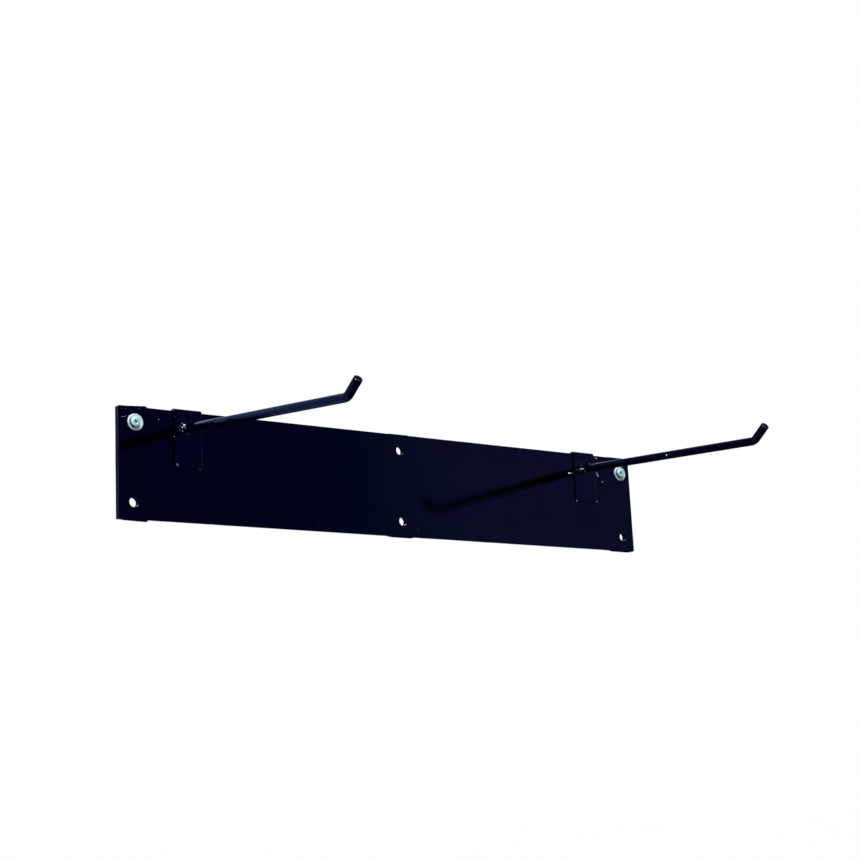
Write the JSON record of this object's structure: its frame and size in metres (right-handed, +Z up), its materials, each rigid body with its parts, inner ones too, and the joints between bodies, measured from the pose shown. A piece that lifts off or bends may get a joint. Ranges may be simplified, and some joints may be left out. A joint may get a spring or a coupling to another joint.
{
  "type": "wall cue rack",
  "caption": "Low flat steel wall rail on spacers, with sliding hook-over saddles that carry long round arms with upturned tips.",
  "frame": {"origin": "on the wall plane, in the middle of the centre spacer's back face", "axes": "+X along the rail, to the right as seen from the room; +Y into the wall; +Z up"},
  "size_m": [0.6, 0.2956, 0.104],
  "materials": {
    "rail_paint": "gloss very dark navy enamel",
    "hook_paint": "gloss black-navy enamel",
    "zinc_plate": "zinc plated, satin"
  },
  "bodies": {
    "rack": {"rail_plate": "rail_paint", "left_spacer": "rail_paint", "centre_spacer": "rail_paint", "right_spacer": "rail_paint", "left_top_weld": "rail_paint", "left_bottom_weld": "rail_paint", "centre_top_weld": "rail_paint", "centre_bottom_weld": "rail_paint", "right_top_weld": "rail_paint", "right_bottom_weld": "rail_paint", "left_washer": "zinc_plate", "right_washer": "zinc_plate", "left_screw": "zinc_plate", "right_screw": "zinc_plate"},
    "left_hook": {"left_saddle": "hook_paint", "left_arm": "hook_paint", "left_arm_weld": "hook_paint"},
    "right_hook": {"right_saddle": "hook_paint", "right_arm": "hook_paint", "right_arm_weld": "hook_paint"}
  },
  "joints": [
    {"name": "left_hook_slide", "type": "slide", "parent": "rack", "child": "left_hook", "axis": [1, 0, 0], "range_m": [-0.0231, 0.2033]},
    {"name": "right_hook_slide", "type": "slide", "parent": "rack", "child": "right_hook", "axis": [1, 0, 0], "range_m": [-0.2065, 0.0199]}
  ]
}
